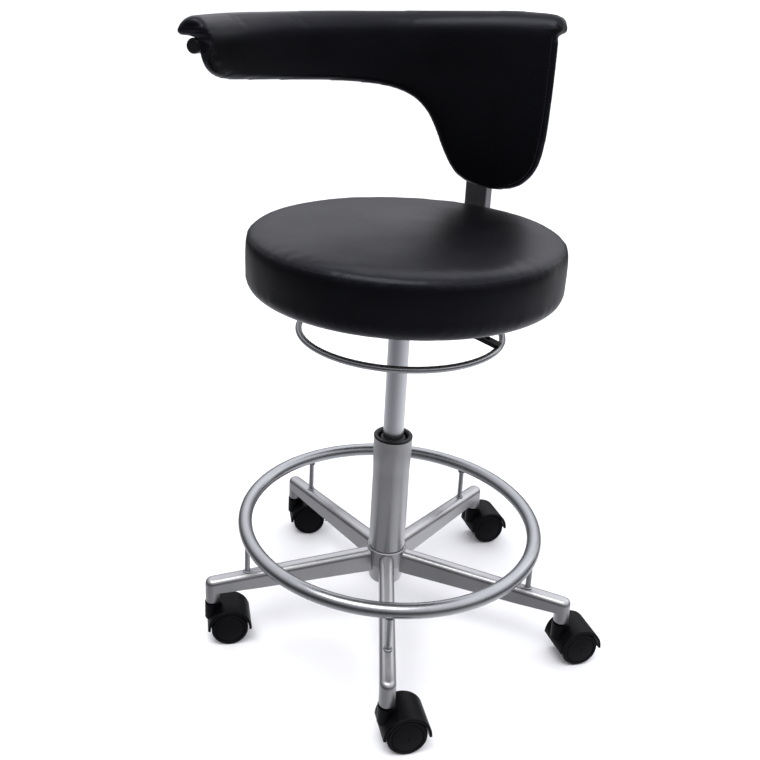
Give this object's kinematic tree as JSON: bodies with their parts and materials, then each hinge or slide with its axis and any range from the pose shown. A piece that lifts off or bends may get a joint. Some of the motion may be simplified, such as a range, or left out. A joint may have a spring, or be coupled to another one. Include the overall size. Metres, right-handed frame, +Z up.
{
  "type": "dentist stool",
  "caption": "Round padded work stool on a star base with twin-wheel casters, gas lift, foot ring, ring release and a swinging crescent arm pad.",
  "frame": {"origin": "on the floor, on the lift's axis", "axes": "+Z up along the lift; the front leg points along -Y; +X is to the sitter's paddle side"},
  "size_m": [0.5771, 0.5507, 0.834],
  "materials": {
    "cast_aluminium": "satin, polished casting",
    "polished_chrome": "bright chrome",
    "column_steel": "satin, drawn along its length",
    "lift_steel": "smooth satin",
    "bright_steel": "zinc plated",
    "black_plastic": "fine moulded grain",
    "black_metal": "powder coat",
    "strut_steel": "satin",
    "black_vinyl": "soft semi-gloss upholstery vinyl",
    "plywood": "stained black",
    "caster_plastic": "moulded nylon",
    "caster_tread": "smooth hard tread"
  },
  "bodies": {
    "base": {"base_star": "cast_aluminium", "foot_ring": "polished_chrome", "foot_ring_posts": "polished_chrome", "column_tube": "column_steel", "column_collar": "black_plastic", "column_bush": "black_plastic", "column_end_plug": "black_plastic", "thrust_balls": "bright_steel"},
    "rod": {"piston_rod": "lift_steel", "piston": "lift_steel", "rod_clip": "bright_steel"},
    "seat": {"gas_cylinder": "lift_steel", "rod_guide": "black_plastic", "mechanism_housing": "black_metal", "release_hinge_pin": "bright_steel", "swing_washers": "black_plastic", "seat_plate": "black_metal", "seat_screws": "bright_steel", "seat_t_nuts": "bright_steel", "seat_board": "plywood", "seat_cushion": "black_vinyl"},
    "release": {"release_ring": "polished_chrome", "release_arm": "black_metal"},
    "release_button": {"release_pin": "bright_steel"},
    "swing": {"swing_bar": "black_metal", "strut": "strut_steel", "strut_cap": "black_plastic"},
    "pad": {"pad_carrier": "black_metal", "pad_board": "plywood", "pad_cushion": "black_vinyl", "pad_top_roll": "black_vinyl", "pad_frame_tube": "black_metal", "pad_tube_plugs": "black_plastic", "pad_screws": "bright_steel"},
    "knob": {"clamp_knob": "black_plastic"},
    "caster_1": {"caster_1_hood": "caster_plastic", "caster_1_stem": "bright_steel", "caster_1_axle": "bright_steel"},
    "caster_1_left": {"caster_1_wheel_left": "caster_tread"},
    "caster_1_right": {"caster_1_wheel_right": "caster_tread"},
    "caster_2": {"caster_2_hood": "caster_plastic", "caster_2_stem": "bright_steel", "caster_2_axle": "bright_steel"},
    "caster_2_left": {"caster_2_wheel_left": "caster_tread"},
    "caster_2_right": {"caster_2_wheel_right": "caster_tread"},
    "caster_3": {"caster_3_hood": "caster_plastic", "caster_3_stem": "bright_steel", "caster_3_axle": "bright_steel"},
    "caster_3_left": {"caster_3_wheel_left": "caster_tread"},
    "caster_3_right": {"caster_3_wheel_right": "caster_tread"},
    "caster_4": {"caster_4_hood": "caster_plastic", "caster_4_stem": "bright_steel", "caster_4_axle": "bright_steel"},
    "caster_4_left": {"caster_4_wheel_left": "caster_tread"},
    "caster_4_right": {"caster_4_wheel_right": "caster_tread"},
    "caster_5": {"caster_5_hood": "caster_plastic", "caster_5_stem": "bright_steel", "caster_5_axle": "bright_steel"},
    "caster_5_left": {"caster_5_wheel_left": "caster_tread"},
    "caster_5_right": {"caster_5_wheel_right": "caster_tread"}
  },
  "joints": [
    {"name": "seat_swivel", "type": "hinge", "parent": "base", "child": "rod", "pos_m": [0, 0, 0.07], "axis": [0, 0, 1], "continuous": true},
    {"name": "seat_height", "type": "slide", "parent": "rod", "child": "seat", "axis": [0, 0, 1], "range_m": [-0.11, 0.03]},
    {"name": "ring_tilt", "type": "hinge", "parent": "seat", "child": "release", "pos_m": [0.01841, -0.00782, 0.464], "axis": [-0.3907, -0.9205, 0], "range_deg": [0, 6], "stiffness_Nm_per_rad": 6, "springref_deg": -2.86},
    {"name": "release_pin_travel", "type": "slide", "parent": "seat", "child": "release_button", "axis": [0, 0, -1], "range_m": [0, 0.003]},
    {"name": "arm_swing", "type": "hinge", "parent": "seat", "child": "swing", "pos_m": [0, 0, 0.485], "axis": [0, 0, 1], "continuous": true},
    {"name": "pad_height", "type": "slide", "parent": "swing", "child": "pad", "axis": [0, 0, 1], "range_m": [-0.03, 0.04]},
    {"name": "knob_turn", "type": "hinge", "parent": "pad", "child": "knob", "pos_m": [0.12494, 0.25616, 0.67], "axis": [0.4384, 0.8988, 0], "range_deg": [-360, 0]},
    {"name": "caster_1_swivel", "type": "hinge", "parent": "base", "child": "caster_1", "pos_m": [0, -0.249, 0.06], "axis": [0, 0, 1], "continuous": true},
    {"name": "caster_1_left_roll", "type": "hinge", "parent": "caster_1", "child": "caster_1_left", "pos_m": [0.02144, -0.24405, 0.025], "axis": [0.225, -0.9744, 0], "continuous": true},
    {"name": "caster_1_right_roll", "type": "hinge", "parent": "caster_1", "child": "caster_1_right", "pos_m": [0.02144, -0.24405, 0.025], "axis": [0.225, -0.9744, 0], "continuous": true},
    {"name": "caster_2_swivel", "type": "hinge", "parent": "base", "child": "caster_2", "pos_m": [0.23681, -0.07694, 0.06], "axis": [0, 0, 1], "continuous": true},
    {"name": "caster_2_left_roll", "type": "hinge", "parent": "caster_2", "child": "caster_2_left", "pos_m": [0.25785, -0.07051, 0.025], "axis": [0.2924, -0.9563, 0], "continuous": true},
    {"name": "caster_2_right_roll", "type": "hinge", "parent": "caster_2", "child": "caster_2_right", "pos_m": [0.25785, -0.07051, 0.025], "axis": [0.2924, -0.9563, 0], "continuous": true},
    {"name": "caster_3_swivel", "type": "hinge", "parent": "base", "child": "caster_3", "pos_m": [0.14636, 0.20145, 0.06], "axis": [0, 0, 1], "continuous": true},
    {"name": "caster_3_left_roll", "type": "hinge", "parent": "caster_3", "child": "caster_3_left", "pos_m": [0.16728, 0.20824, 0.025], "axis": [0.309, -0.9511, 0], "continuous": true},
    {"name": "caster_3_right_roll", "type": "hinge", "parent": "caster_3", "child": "caster_3_right", "pos_m": [0.16728, 0.20824, 0.025], "axis": [0.309, -0.9511, 0], "continuous": true},
    {"name": "caster_4_swivel", "type": "hinge", "parent": "base", "child": "caster_4", "pos_m": [-0.14636, 0.20145, 0.06], "axis": [0, 0, 1], "continuous": true},
    {"name": "caster_4_left_roll", "type": "hinge", "parent": "caster_4", "child": "caster_4_left", "pos_m": [-0.12469, 0.20527, 0.025], "axis": [0.1736, -0.9848, 0], "continuous": true},
    {"name": "caster_4_right_roll", "type": "hinge", "parent": "caster_4", "child": "caster_4_right", "pos_m": [-0.12469, 0.20527, 0.025], "axis": [0.1736, -0.9848, 0], "continuous": true},
    {"name": "caster_5_swivel", "type": "hinge", "parent": "base", "child": "caster_5", "pos_m": [-0.23681, -0.07694, 0.06], "axis": [0, 0, 1], "continuous": true},
    {"name": "caster_5_left_roll", "type": "hinge", "parent": "caster_5", "child": "caster_5_left", "pos_m": [-0.21529, -0.07237, 0.025], "axis": [0.2079, -0.9781, 0], "continuous": true},
    {"name": "caster_5_right_roll", "type": "hinge", "parent": "caster_5", "child": "caster_5_right", "pos_m": [-0.21529, -0.07237, 0.025], "axis": [0.2079, -0.9781, 0], "continuous": true}
  ],
  "couplings": [
    {"joint": "release_pin_travel", "follows": "ring_tilt", "m_per_rad": 0.0225}
  ]
}
